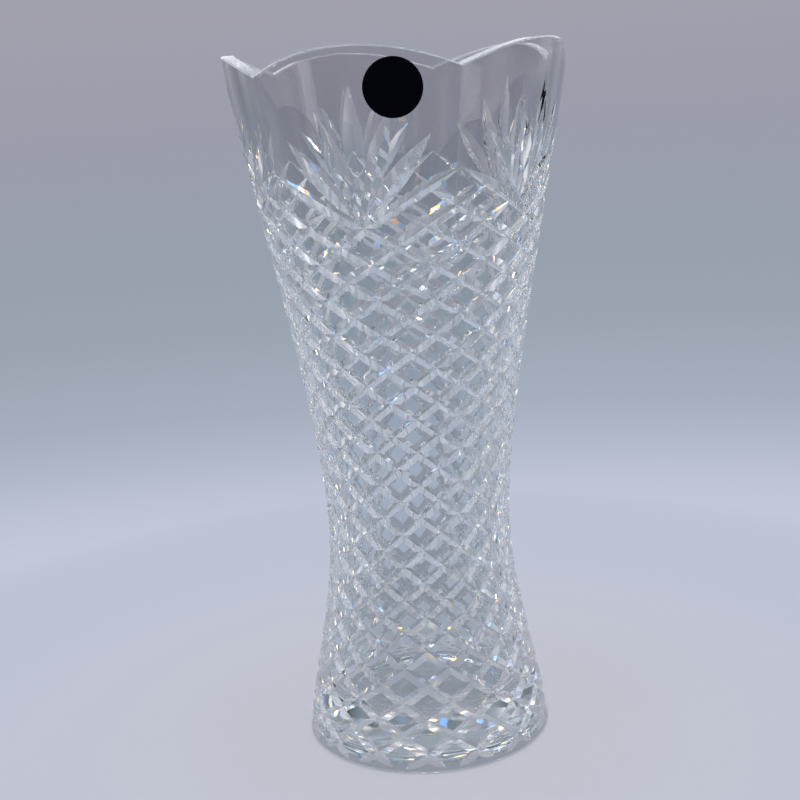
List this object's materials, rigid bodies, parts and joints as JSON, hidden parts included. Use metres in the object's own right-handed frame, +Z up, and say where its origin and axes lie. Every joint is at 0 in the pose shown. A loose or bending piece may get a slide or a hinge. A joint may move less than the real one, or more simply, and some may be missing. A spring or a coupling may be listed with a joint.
{
  "type": "vase",
  "caption": "Tall waisted cut crystal vase with a scalloped rim, fans of mitre cuts under the lobes and a diamond lattice, with a small round label.",
  "frame": {"origin": "on the vase's axis at the plane it rests on", "axes": "+Z up along the vase's axis, -Y towards the front, where the label is, +X to the right"},
  "size_m": [0.1201, 0.1205, 0.254],
  "materials": {
    "lead_crystal": "polished",
    "label_paper": "satin"
  },
  "bodies": {
    "root": {"crystal_body": "lead_crystal", "round_label": "label_paper"}
  },
  "joints": []
}
